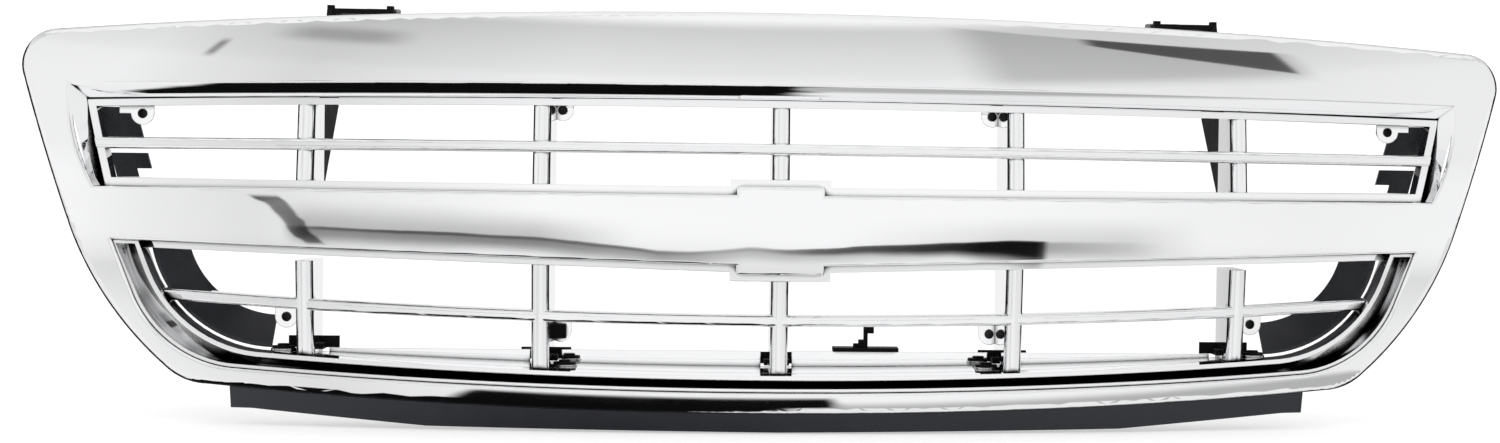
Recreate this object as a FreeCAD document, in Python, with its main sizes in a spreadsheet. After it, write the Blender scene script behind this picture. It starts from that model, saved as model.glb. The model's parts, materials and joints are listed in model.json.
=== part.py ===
import FreeCAD, Part
import math
import os
import Sketcher
from FreeCAD import Placement, Rotation, Vector

# Front grille of a minivan, millimetres.
# X runs across the car, Y towards the rear and Z up.
# The origin is the centre of the flat badge seat on the nose of the grille.
# Every level line is bowed around one vertical axis, the bow axis, behind the nose.

DIMENSIONS = {
    # rough stock: how far cutting shapes run past the part, and how deep joined pieces overlap
    "stock_front": -60,
    "stock_rear": 260,
    "overshoot": 20,
    "far_overshoot": 60,
    "overlap": 1,
    # plan bow and vertical crown of the visible face
    "bow_radius": 1650,
    "crown_radius": 400,
    "stock_angle": 44,
    "stock_height": 180,
    # outline of the shell, right half, seen from the front
    "top_z": 162,
    "top_end_x": 550.7,
    "top_end_z": 143.7,
    "top_corner_radius": 26,
    "side_start_x": 573.4,
    "side_start_z": 108.9,
    "side_end_x": 531.5,
    "side_end_z": -5,
    "side_radius": 270,
    "foot_start_x": 458.5,
    "foot_start_z": -110.5,
    "foot_radius": 45,
    "foot_end_x": 430,
    "foot_end_z": -122.6,
    "bottom_z": -138.5,
    "wall": 3,
    "shell_depth": 34,
    "edge_round": 8,
    "top_slope": 3.8,
    "side_lean": 20.5,
    "foot_lean": 46,
    "sill_slope": 4.1,
    "opening_round": 2,
    # upper opening
    "bezel_top_z": 107,
    "bezel_inner_z": 95.8,
    "bezel_depth": 9.5,
    "bezel_loft_z": 125,
    "bezel_side_z": 90,
    "bezel_back_high_x": 20,
    "bezel_back_low_x": 8,
    "upper_tilt": 3.6,
    "upper_bottom_z": 25.2,
    "bezel_front_y": 60,
    "bezel_rear_y": 130,
    "bezel_front_high_x": 596,
    "bezel_front_low_x": 523,
    "bezel_rear_high_x": 489,
    "bezel_rear_low_x": 490,
    "opening_high_x": 520.6,
    "opening_high_z": 83,
    "opening_low_x": 505.5,
    # stepped badge seat and the small flat in its middle
    "seat_flat": 0.05,
    "seat_half": 32,
    "seat_top_z": 31.5,
    "seat_bottom_z": -33,
    # lower opening, right half, edge of the shell
    "lower_mid_z": -26.2,
    "lower_end_x": 497,
    "lower_end_z": -14.5,
    "lower_roof_run": 50,
    "lower_roof_rise": 1.3,
    "end_lean": 23,
    "lower_side_x": 481,
    "lower_side_z": -56,
    "lower_corner_radius": 87,
    "lower_foot_x": 405,
    "lower_foot_z": -109.4,
    "lower_bottom_z": -121.9,
    # molding around the lower opening, inner edge
    "rim_end_x": 476.5,
    "rim_end_z": -15,
    "rim_end_rise": 10,
    "rim_side_x": 468,
    "rim_side_z": -38,
    "rim_corner_radius": 95,
    "rim_foot_x": 388,
    "rim_foot_z": -97,
    "rim_bottom_z": -109,
    "rim_front": 2,
    "rim_depth": 26,
    "groove_depth": 13,
    "bead": 3.5,
    "outer_bead": 2.5,
    # grids
    "fit_gap": 0.4,
    "rear_plane": 112,
    "rail": 5,
    "rail_front": 12,
    "rail_depth": 18,
    "stile": 6,
    "post_inner_x": 177,
    "post_outer_x": 353,
    "post_width": 13,
    "post_front": 13,
    "nose_fullness": 1.001,
    "post_high_inset": 4,
    "post_low_inset": 2,
    "upper_post_tilt": 8.5,
    "lower_post_tilt": -8.5,
    "upper_bar_z": 63.8,
    "upper_bar_drop": 1.7,
    "bar_height": 8.6,
    "bar_front": 10,
    "bar_depth": 16,
    "bar_round": 3,
    "lower_bar_front": 14,
    "bar_overrun": 80,
    "lower_bar_z": -63.9,
    "lower_bar_rise": 13.4,
    "bar_end_x": 470,
    "lip_top_z": -97,
    "lip_half": 345,
    # screw tabs of the grids
    "tab_width": 17,
    "tab_thickness": 2.5,
    "tab_hole": 7.2,
    "tab_stem": 9,
    "boss_step": 3,
    "boss_radius": 6,
    "boss_length": 12,
    "boss_end": 1.5,
    "upper_tab_inner_x": 166,
    "upper_tab_inner_z": 87.5,
    "upper_tab_outer_x": 481,
    "upper_tab_outer_z": 80,
    "lower_tab_inner_x": 166,
    "lower_tab_inner_z": -82.5,
    "lower_tab_outer_x": 373,
    "lower_tab_outer_z": -73.2,
    # dark end walls behind the openings
    "baffle_wall": 2.5,
    "upper_baffle_front_x": 510.4,
    "upper_baffle_front_y": 125,
    "upper_baffle_rear_x": 488,
    "upper_baffle_rear_y": 145.6,
    "upper_baffle_low_z": 31.5,
    "upper_baffle_high_z": 85,
    "upper_baffle_lean": 14.6,
    "upper_baffle_wall": 3.25,
    "notch_mid_low_z": 50,
    "notch_mid_high_z": 62,
    "notch_mid_reach": 22,
    "notch_foot_low_z": 31,
    "notch_foot_high_z": 38,
    "notch_foot_reach": 8,
    "lower_baffle_x": 380,
    "lower_baffle_z": -2.3,
    "lower_baffle_radius": 94,
    "lower_baffle_rear_radius": 73,
    "lower_baffle_front_y": 100.8,
    "lower_baffle_length": 23,
    "lower_baffle_top_z": -20.5,
    # black upper brackets
    "gusset_x": 346.5,
    "gusset_wall": 4,
    "gusset_front_y": 112.5,
    "gusset_rear_y": 200,
    "gusset_low_z": 30,
    "gusset_toe": 6,
    "flange_drop": 8,
    "gusset_knee_z": 97,
    "bracket_top_z": 164.5,
    "bracket_end_rise": 2.5,
    "bracket_tab_inner_x": 300,
    "bracket_tab_outer_x": 350.5,
    "bracket_tab_front_y": 150,
    "bracket_tab_wall": 4,
    "bracket_end_width": 5,
    "bracket_end_depth": 8,
    "bracket_hole": 6.4,
    "bracket_hole_x": 314,
    "bracket_hole_y": 180,
    # black strip under the shell
    "strip_half": 410,
    "strip_low_z": -153,
    "strip_bend_x": 262,
    "strip_bend_z": -151,
    "strip_end_x": 394,
    "strip_end_z": -140.5,
    "strip_front": 5,
    "strip_wall": 3,
    "strip_flange": 24,
    # floor of the lower grid and the black rail below it
    "floor_wall": 3,
    "floor_front": 30,
    "floor_half": 380,
    "rear_wall": 2.5,
    "slot_half": 12,
    "slot_over": 5,
    "floor_high_z": -60,
    "rail_gap": 0.1,
    "rail_rear_y": 118,
    "saddle_half": 19,
    "saddle_wall": 3,
    "saddle_low_z": -107,
    "saddle_high_z": -98,
    "saddle_foot_y": 92,
    "saddle_foot_z": -102.5,
    "saddle_gap": 0.2,
    "rail_front_inset": 3,
    # fasteners
    "screw_radius": 2,
    "screw_bore": 2.05,
    "screw_head": 4,
    "screw_head_height": 2.4,
    "bracket_screw_length": 15,
    "pilot_depth": 18,
    "pilot_over": 0.5,
    "strip_screw_length": 10,
    "strip_screw_bore": 20,
    "strip_bore_over": 5,
    "strip_screw_inset": 16,
    "strip_head_gap": 0.3,
    "nut_half": 9,
    "nut_leaf": 1.2,
    "nut_bend": 1.5,
    "nut_barrel": 5,
    "nut_barrel_drop": 5,
    "nut_barrel_height": 4.2,
    "bracket_screw_x": 355.3,
    "bracket_screw_low_z": 45,
    "bracket_screw_high_z": 78,
    "strip_screw_step": 130,
    "retainer_inner_x": 161,
    "retainer_inner_y": 78,
    "retainer_inner_z": -105.9,
    "retainer_outer_x": 373.5,
    "retainer_outer_y": 98,
    "retainer_outer_z": -96.6,
    "retainer_pad": 9.5,
    "retainer_head": 8.5,
    "retainer_head_height": 2,
    "retainer_shank": 3.9,
    "retainer_hole": 4,
    "retainer_length": 14,
    "pad_height": 5,
    "bore_reach": 30,
    "pin_radius": 2.4,
    "pin_bore": 2.45,
    "pin_head": 4.5,
    "pin_head_height": 1.6,
    # black clip on the rear lip and black clip in the left inner tab
    "hook_plate_left": 44,
    "hook_plate_right": 95,
    "hook_stem_x": 68,
    "hook_stem_width": 3.2,
    "hook_head_width": 8,
    "hook_head_height": 7,
    "hook_stem_height": 21,
    "hook_plate_front": 8,
    "hook_plate_rear": 12,
    "hook_front": 2,
    "hook_rear": 4,
    "hook_step_width": 4,
    "hook_step_height": 3,
    "hook_steps": 2,
    "clip_width": 8.8,
    "clip_rise": 11,
    "clip_height": 4,
    "clip_shank": 3.5,
    "clip_shank_length": 14,
}


# Tolerances, in millimetres and degrees, for picking the edges that are rounded.
ON_FACE = 0.5
ON_OPENING = 0.3
ON_BAR = 1
LONG_EDGE = 800
SHARP_ANGLE = 20


def dimension_sheet(doc):
    sheet = doc.addObject("Spreadsheet::Sheet", "Sizes")
    for row, (name, value) in enumerate(DIMENSIONS.items(), start=1):
        sheet.set("A%d" % row, name)
        sheet.set("B%d" % row, str(value))
        sheet.setAlias("B%d" % row, name)
    doc.recompute()
    return sheet


class Workshop:
    """The document, its sheet of sizes and the few ways in which the pieces are made."""

    def __init__(self):
        self.doc = FreeCAD.newDocument("FrontGrille")
        self.sheet = dimension_sheet(self.doc)

    def value(self, expression):
        return float(self.sheet.evalExpression(expression))

    def body(self, name):
        return self.doc.addObject("PartDesign::Body", name)

    def sketch(self, body, role):
        sketch = body.newObject("Sketcher::SketchObject", body.Name + "_sketch")
        plane = [item for item in body.Origin.OriginFeatures if item.Role == role][0]
        sketch.AttachmentSupport = [(plane, "")]
        sketch.MapMode = "FlatFace"
        return sketch

    def fix_point(self, sketch, geometry, end, place):
        """Tie one end of a sketch curve to a pair of expressions."""
        for kind, expression in zip(("DistanceX", "DistanceY"), place):
            rule = Sketcher.Constraint(kind, -1, 1, geometry, end, self.value(expression))
            number = sketch.addConstraint(rule)
            label = "%s_%d_%d" % (kind, geometry, end)
            sketch.renameConstraint(number, label)
            sketch.setExpression("Constraints." + label, expression)

    def draw(self, sketch, corners):
        """Draw a closed outline.

        A corner is (x, y) or (x, y, radius, turn): the second form leaves the corner on an
        arc, which turns left for turn 1 and right for turn -1.
        """
        ends = []
        for index, corner in enumerate(corners):
            after = corners[(index + 1) % len(corners)]
            start = Vector(self.value(corner[0]), self.value(corner[1]), 0)
            stop = Vector(self.value(after[0]), self.value(after[1]), 0)
            if len(corner) == 2:
                number = sketch.addGeometry(Part.LineSegment(start, stop), False)
                ends.append((number, 1, 2))
                continue
            number = sketch.addGeometry(self.arc(start, stop, self.value(corner[2]), corner[3]), False)
            ends.append((number, 1, 2) if corner[3] > 0 else (number, 2, 1))
            rule = Sketcher.Constraint("Radius", number, self.value(corner[2]))
            label = "Radius_%d" % number
            sketch.renameConstraint(sketch.addConstraint(rule), label)
            sketch.setExpression("Constraints." + label, corner[2])
        for index, corner in enumerate(corners):
            number, first, _ = ends[index]
            before, _, last = ends[index - 1]
            sketch.addConstraint(Sketcher.Constraint("Coincident", before, last, number, first))
            self.fix_point(sketch, number, first, corner[:2])

    def arc(self, start, stop, radius, turn):
        chord = stop - start
        middle = (start + stop) * 0.5
        side = Vector(-chord.y, chord.x, 0).normalize() * turn
        centre = middle + side * math.sqrt(radius ** 2 - (chord.Length / 2) ** 2)
        angles = [math.atan2(point.y - centre.y, point.x - centre.x) for point in (start, stop)]
        if turn < 0:
            angles.reverse()
        return Part.ArcOfCircle(Part.Circle(centre, Vector(0, 0, 1), radius), angles[0], angles[1])

    def prism(self, name, corners, front="Sizes.stock_front", rear="Sizes.stock_rear"):
        """Outline seen from the front, carried straight back from front to rear."""
        body = self.body(name)
        sketch = self.sketch(body, "XZ_Plane")
        self.draw(sketch, corners)
        sketch.setExpression(".AttachmentOffset.Base.z", "-(%s)" % rear)
        pad = body.newObject("PartDesign::Pad", name + "_pad")
        pad.Profile = sketch
        pad.setExpression("Length", "(%s)-(%s)" % (rear, front))
        return body

    def upright(self, name, corners, low, high):
        """Outline seen from above, carried from low to high."""
        body = self.body(name)
        sketch = self.sketch(body, "XY_Plane")
        self.draw(sketch, corners)
        sketch.setExpression(".AttachmentOffset.Base.z", low)
        pad = body.newObject("PartDesign::Pad", name + "_pad")
        pad.Profile = sketch
        pad.setExpression("Length", "(%s)-(%s)" % (high, low))
        return body

    def side_plate(self, name, corners, left, right):
        """Outline seen from the side, carried from left to right."""
        body = self.body(name)
        sketch = self.sketch(body, "YZ_Plane")
        self.draw(sketch, corners)
        sketch.setExpression(".AttachmentOffset.Base.z", left)
        pad = body.newObject("PartDesign::Pad", name + "_pad")
        pad.Profile = sketch
        pad.setExpression("Length", "(%s)-(%s)" % (right, left))
        return body

    def bowed(self, name, corners, tilt="0"):
        """Cross-section swept around the bow axis, which may lean by a tilt in degrees."""
        body = self.body(name)
        sketch = self.sketch(body, "YZ_Plane")
        self.draw(sketch, corners)
        foot = Vector(self.value("Sizes.bow_radius"), 0, 0)
        number = sketch.addGeometry(Part.LineSegment(foot, foot + Vector(0, 100, 0)), True)
        self.fix_point(sketch, number, 1, ("Sizes.bow_radius", "0"))
        self.fix_point(sketch, number, 2, ("Sizes.bow_radius+100*tan((%s)*1deg)" % tilt, "100"))
        turn = body.newObject("PartDesign::Revolution", name + "_turn")
        turn.Profile = sketch
        turn.ReferenceAxis = (sketch, ["Axis0"])
        turn.Midplane = True
        turn.setExpression("Angle", "Sizes.stock_angle")
        return body

    def crowned(self, name, front, depth):
        """Bowed and crowned stock whose front lies a distance behind the face of the grille."""
        crown = "Sizes.crown_radius"
        high = "Sizes.stock_height"
        near = "(%s)+%s-sqrt(%s^2-%s^2)" % (front, crown, crown, high)
        inner = "(%s-(%s))" % (crown, depth)
        far = "(%s)+%s-sqrt(%s^2-%s^2)" % (front, crown, inner, high)
        low = "-" + high
        corners = [(near, high, crown, 1), (near, low), (far, low, inner, -1), (far, high)]
        return self.bowed(name, corners)

    def box(self, name, low, high):
        """Box between two corners that are given as expressions."""
        box = self.doc.addObject("Part::Box", name)
        for side, first, last in zip(("Length", "Width", "Height"), low, high):
            box.setExpression(side, "(%s)-(%s)" % (last, first))
        for axis, first in zip("xyz", low):
            box.setExpression(".Placement.Base." + axis, first)
        return box

    def rod(self, name, foot, radius, length, direction=Vector(0, 0, 1)):
        """Cylinder from a foot point along a direction."""
        rod = self.doc.addObject("Part::Cylinder", name)
        rod.setExpression("Radius", radius)
        rod.setExpression("Height", length)
        rod.Placement = Placement(Vector(), Rotation(Vector(0, 0, 1), direction))
        for axis, place in zip("xyz", foot):
            rod.setExpression(".Placement.Base." + axis, place)
        return rod

    def common(self, name, first, second):
        result = self.doc.addObject("Part::MultiCommon", name)
        result.Shapes = [first, second]
        return result

    def fuse(self, name, pieces):
        result = self.doc.addObject("Part::MultiFuse", name)
        result.Shapes = pieces
        result.Refine = True
        return result

    def cut(self, name, base, tool):
        result = self.doc.addObject("Part::Cut", name)
        result.Base = base
        result.Tool = tool
        return result

    def rounded(self, name, base, radius, chosen):
        """Round the edges of base that the test picks."""
        self.doc.recompute()
        size = self.value(radius)
        result = self.doc.addObject("Part::Fillet", name)
        result.Base = base
        edges = enumerate(base.Shape.Edges, start=1)
        result.Edges = [(number, size, size) for number, edge in edges if chosen(edge)]
        return result

    def behind_face(self, point):
        """Depth of a point behind the bowed and crowned face."""
        bow = self.value("Sizes.bow_radius")
        crown = self.value("Sizes.crown_radius")
        depth = bow - math.hypot(point.x, bow - point.y)
        return depth - crown + math.sqrt(crown ** 2 - point.z ** 2)


def middle_of(edge):
    return edge.valueAt((edge.FirstParameter + edge.LastParameter) / 2)


def span(side, first, last):
    """Left and right limit of a piece on one side of the middle, given as distances from the middle."""
    near, far = ("%d*(%s)" % (side, first), "%d*(%s)" % (side, last))
    return (near, far) if side > 0 else (far, near)


def is_sharp(shape, edge):
    """True where the two faces beside an edge meet at a clear angle."""
    sides = shape.ancestorsOfType(edge, Part.Face)
    if len(sides) != 2:
        return False
    spot = middle_of(edge)
    normals = [side.normalAt(*side.Surface.parameter(spot)) for side in sides]
    return normals[0].getAngle(normals[1]) > math.radians(SHARP_ANGLE)


def long_edge_at(shop, depth):
    """Test for the long front edges of a bar whose front lies a depth behind the face."""
    def chosen(edge):
        gap = shop.behind_face(middle_of(edge)) - shop.value(depth)
        return edge.Length > LONG_EDGE and abs(gap) < ON_BAR
    return chosen


def mirrored(right, closing=()):
    """Close an outline by mirroring its right half, which runs from the top down.

    closing is the radius and turn of an arc over the top, or nothing for a straight top.
    """
    left = []
    for index in range(len(right) - 1, -1, -1):
        leaving = right[index - 1][2:] if index > 0 else closing
        left.append(("-(%s)" % right[index][0], right[index][1]) + tuple(leaving))
    return right + left


def arch_radius(half, rise):
    return "((%s)^2+(%s)^2)/(2*(%s))" % (half, rise, rise)


def offset_corner(name, angle, inset):
    """Outline point of the shell moved inwards along its normal."""
    across = "Sizes.%s_x-(%s)*cos((%s)*1deg)" % (name, inset, angle)
    upward = "Sizes.%s_z-(%s)*sin((%s)*1deg)" % (name, inset, angle)
    return (across, upward)


def shell_outline(inset):
    """Outline of the shell seen from the front, moved inwards by the inset."""
    top = offset_corner("top_end", "90-Sizes.top_slope", inset)
    side_start = offset_corner("side_start", "-Sizes.side_lean", inset)
    side_end = offset_corner("side_end", "-Sizes.side_lean", inset)
    foot_start = offset_corner("foot_start", "-Sizes.foot_lean", inset)
    foot_end = offset_corner("foot_end", "Sizes.sill_slope-90", inset)
    arch = arch_radius(top[0], "Sizes.top_z-(%s)-(%s)" % (inset, top[1]))
    sill = arch_radius(foot_end[0], "(%s)-(%s)-Sizes.bottom_z" % (foot_end[1], inset))
    right = [
        top + ("Sizes.top_corner_radius-(%s)" % inset, -1),
        side_start,
        side_end + ("Sizes.side_radius-(%s)" % inset, -1),
        foot_start + ("Sizes.foot_radius-(%s)" % inset, -1),
        foot_end + (sill, -1),
    ]
    return mirrored(right, (arch, -1))


def lower_outline(grow):
    """Edge of the lower opening in the shell, grown outwards."""
    side = "(%s)*cos(Sizes.end_lean*1deg)" % grow
    drop = "(%s)*sin(Sizes.end_lean*1deg)" % grow
    right = [
        ("Sizes.lower_end_x+%s" % side, "Sizes.lower_end_z+(%s)" % grow),
        ("Sizes.lower_side_x+%s" % side, "Sizes.lower_side_z-%s" % drop,
         "Sizes.lower_corner_radius+(%s)" % grow, -1),
        ("Sizes.lower_foot_x", "Sizes.lower_foot_z-(%s)" % grow,
         arch_radius("Sizes.lower_foot_x", "Sizes.lower_foot_z-Sizes.lower_bottom_z"), -1),
    ]
    return mirrored(right)


def lower_top(grow):
    """Roof-shaped upper limit of the lower opening, with the step for the badge seat."""
    lift = "(%s)" % grow
    step = "Sizes.seat_half-(%s)" % grow
    right = [
        (step, "Sizes.seat_bottom_z+" + lift),
        (step, "Sizes.lower_mid_z+" + lift),
        ("Sizes.lower_end_x+Sizes.lower_roof_run", "Sizes.lower_end_z+Sizes.lower_roof_rise+" + lift),
        ("Sizes.lower_end_x+Sizes.lower_roof_run", "-Sizes.stock_height"),
    ]
    return mirrored(right)


def rim_outline(grow):
    """Inner edge of the molding around the lower opening, grown outwards."""
    side = "(%s)*cos(Sizes.end_lean*1deg)" % grow
    drop = "(%s)*sin(Sizes.end_lean*1deg)" % grow
    right = [
        ("Sizes.rim_end_x+Sizes.rim_end_rise*tan(Sizes.end_lean*1deg)+" + side,
         "Sizes.rim_end_z+Sizes.rim_end_rise"),
        ("Sizes.rim_side_x+" + side, "Sizes.rim_side_z-" + drop,
         "Sizes.rim_corner_radius+(%s)" % grow, -1),
        ("Sizes.rim_foot_x", "Sizes.rim_foot_z-(%s)" % grow,
         arch_radius("Sizes.rim_foot_x", "Sizes.rim_foot_z-Sizes.rim_bottom_z"), -1),
    ]
    return mirrored(right)


def upper_trapezoid(grow):
    """Inner edge of the bezel around the upper opening, grown outwards."""
    lean = "(Sizes.opening_high_x-Sizes.opening_low_x)/(Sizes.opening_high_z-Sizes.upper_bottom_z)"
    low = "(Sizes.upper_bottom_z-(%s))" % grow
    high = "Sizes.stock_height"
    right = [
        ("Sizes.opening_low_x+(%s)+(%s)*(%s-Sizes.upper_bottom_z)" % (grow, lean, high), high),
        ("Sizes.opening_low_x+(%s)+(%s)*(%s-Sizes.upper_bottom_z)" % (grow, lean, low), low),
    ]
    return mirrored(right)


def seat_step(grow):
    """Band below the upper opening that keeps the raised badge seat."""
    half = "Sizes.seat_half+(%s)" % grow
    high = "Sizes.seat_top_z+(%s)" % grow
    return mirrored([(half, high), (half, "0")])


def bezel_cutter(shop, name, grow):
    """Tapered recess of the upper opening and the straight opening behind it."""
    roof = "Sizes.bezel_top_z+(%s)" % grow
    ceiling = "Sizes.bezel_inner_z+(%s)" % grow
    start = "Sizes.crown_radius-sqrt(Sizes.crown_radius^2-Sizes.bezel_top_z^2)"
    taper = shop.bowed(name + "_taper", [
        (start + "-Sizes.overshoot", "-Sizes.overshoot"),
        (start + "-Sizes.overshoot",
         roof + "+Sizes.overshoot*(Sizes.bezel_top_z-Sizes.bezel_inner_z)/Sizes.bezel_depth"),
        (start + "+Sizes.bezel_depth", ceiling),
        ("Sizes.bezel_rear_y", ceiling),
        ("Sizes.bezel_rear_y", "-Sizes.overshoot"),
    ], "Sizes.upper_tilt")
    body = shop.body(name + "_sides")
    loft = body.newObject("PartDesign::AdditiveLoft", name + "_loft")
    sections = []
    climb = "(Sizes.bezel_loft_z-Sizes.bezel_side_z)/(Sizes.bezel_side_z-Sizes.upper_bottom_z)"
    for place in ("front", "rear"):
        sketch = shop.sketch(body, "XZ_Plane")
        high_x = "Sizes.bezel_%s_high_x" % place
        low_x = "Sizes.bezel_%s_low_x" % place
        low = "Sizes.upper_bottom_z-(%s)" % grow
        shop.draw(sketch, mirrored([
            ("%s+(%s)+(%s-%s)*%s" % (high_x, grow, high_x, low_x, climb), "Sizes.bezel_loft_z"),
            ("%s+(%s)" % (low_x, grow), low),
        ]))
        sketch.setExpression(".AttachmentOffset.Base.z", "-Sizes.bezel_%s_y" % place)
        sections.append(sketch)
    loft.Profile = sections[0]
    loft.Sections = sections[1:]
    loft.Ruled = True
    return taper, body


def front_shell(shop):
    """Chrome-plated shell: a thin bowed skin with a bezel round each opening."""
    outside = shop.common("shell_block", shop.prism("shell_outline", shell_outline("0")),
                          shop.crowned("shell_stock", "-Sizes.seat_flat", "Sizes.shell_depth"))
    rolled = shop.rounded("shell_rolled", outside, "Sizes.edge_round",
                          lambda edge: abs(shop.behind_face(middle_of(edge))) < ON_FACE)
    inside = shop.common("shell_core", shop.prism("shell_inset", shell_outline("Sizes.wall")),
                         shop.crowned("shell_core_stock", "Sizes.wall", "Sizes.shell_depth+Sizes.overshoot"))
    upper_back = shop.prism("upper_back", mirrored([
        ("Sizes.opening_high_x+Sizes.bezel_back_high_x", "Sizes.bezel_top_z+Sizes.wall"),
        ("Sizes.opening_low_x+Sizes.bezel_back_low_x", "Sizes.upper_bottom_z-Sizes.wall"),
    ]))
    lower_back = shop.prism("lower_back", lower_outline("Sizes.wall"))
    core = shop.cut("shell_hollow", inside, shop.fuse("shell_backs", [upper_back, lower_back]))
    taper, sides = bezel_cutter(shop, "bezel", "0")
    straight = shop.prism("bezel_straight", upper_trapezoid("0"))
    recess = shop.common("bezel_recess", taper, shop.fuse("bezel_width", [sides, straight]))
    seat = shop.prism("seat_keep", seat_step("0"))
    recess_kept = shop.cut("bezel_recess_kept", recess, seat)
    lower = shop.common("lower_window", shop.prism("lower_edge", lower_outline("0")),
                        shop.prism("lower_roof", lower_top("0")))
    windowed = shop.cut("shell_open", rolled, shop.fuse("shell_windows", [core, recess_kept, lower]))
    shell = shop.rounded("shell_soft", windowed, "Sizes.opening_round",
                         lambda edge: abs(shop.behind_face(middle_of(edge))) < ON_OPENING
                         and is_sharp(windowed.Shape, edge))
    badge_plane = shop.box("badge_plane", ("-Sizes.seat_half", "-Sizes.wall", "-Sizes.seat_half"),
                           ("Sizes.seat_half", "0", "Sizes.seat_half"))
    bores = strip_screw_bores(shop, "shell_bore_")
    shell = shop.cut("shell_drilled", shell, shop.fuse("shell_bores", bores + [badge_plane]))
    shell.Label = "front_shell"
    return shell


def post_row(shop, name, tilt, low, high, hinge):
    """Five posts with a half-round nose and a straight web back to the rear plane."""
    half = "Sizes.post_width/2"
    posts = []
    for number, across in enumerate(post_centres()):
        bow = "Sizes.bow_radius-sqrt(Sizes.bow_radius^2-(%s)^2)" % across
        nose = "(%s+Sizes.post_front)" % bow
        shoulder = "%s+%s" % (nose, half)
        back = "Sizes.rear_plane+Sizes.far_overshoot"
        corners = [
            ("(%s)-%s" % (across, half), shoulder, half + "*Sizes.nose_fullness", 1),
            ("(%s)+%s" % (across, half), shoulder),
            ("(%s)+%s" % (across, half), back),
            ("(%s)-%s" % (across, half), back),
        ]
        post = shop.upright("%s_%d" % (name, number), corners, "-Sizes.stock_height", "Sizes.stock_height")
        lean = shop.value(tilt)
        pivot = Vector(0, shop.value(nose), shop.value(hinge))
        post.Placement = Placement(Vector(), Rotation(Vector(1, 0, 0), lean), pivot)
        posts.append(post)
    edge = "Sizes.post_outer_x+Sizes.overshoot"
    window = shop.prism(name + "_window", mirrored([(edge, high), (edge, low)]), "Sizes.stock_front",
                        "Sizes.rear_plane")
    return shop.common(name + "_trimmed", shop.fuse(name + "_row", posts), window)


def screw_tab(shop, name, across, level, root, high):
    """Round lug at the rear plane, joined to its root and up to high, with a blind boss behind it."""
    back = "Sizes.rear_plane-Sizes.boss_step"
    front = back + "-Sizes.tab_thickness"
    half = "Sizes.tab_width/2"
    left, right = sorted((across, root), key=shop.value)
    eye = shop.rod(name + "_eye", (across, front, level), half, "Sizes.tab_thickness", Vector(0, 1, 0))
    stem = shop.box(name + "_stem", ("(%s)-%s" % (across, half), front, level),
                    ("(%s)+%s" % (across, half), back, high))
    arm = shop.box(name + "_arm", (left, front, level), (right, back, high))
    boss = shop.rod(name + "_boss", (across, back, level), "Sizes.boss_radius", "Sizes.boss_length",
                    Vector(0, 1, 0))
    return shop.fuse(name, [eye, stem, arm, boss])


def hole_tool(shop, name, across, level):
    """Blind screw hole through the lug into its boss."""
    depth = "Sizes.tab_thickness+Sizes.boss_length-Sizes.boss_end+Sizes.overlap"
    front = "Sizes.rear_plane-Sizes.boss_step-Sizes.tab_thickness-Sizes.overlap"
    return shop.rod(name, (across, front, level), "Sizes.tab_hole/2", depth, Vector(0, 1, 0))


def bracket_screw_places():
    """Two screws in the rear face of each outer post."""
    places = []
    for side, word in ((-1, "left"), (1, "right")):
        for level in ("low", "high"):
            places.append(("%s_%s" % (word, level), "%d*Sizes.bracket_screw_x" % side,
                           "Sizes.bracket_screw_%s_z" % level))
    return places


def bracket_screw_bores(shop, name, radius):
    back = "Sizes.gusset_front_y+Sizes.gusset_wall"
    return [shop.rod(name + "_" + word, (across, back + "+Sizes.pilot_over", level), radius,
                     "Sizes.pilot_depth", Vector(0, -1, 0))
            for word, across, level in bracket_screw_places()]


def pan_screw(shop, name, seat, length, direction):
    """Pan-head screw whose head bears on the seat point and whose shank runs along the direction."""
    head = shop.rod(name + "_head", seat, "Sizes.screw_head", "Sizes.screw_head_height", direction * -1)
    shank = shop.rod(name + "_shank", seat, "Sizes.screw_radius", length, direction)
    return shop.fuse(name, [head, shank])


def group(shop, label, pieces):
    """Separate identical solids that share one node."""
    result = shop.doc.addObject("Part::Compound", label + "_group")
    result.Links = pieces
    result.Label = label
    return result


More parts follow.
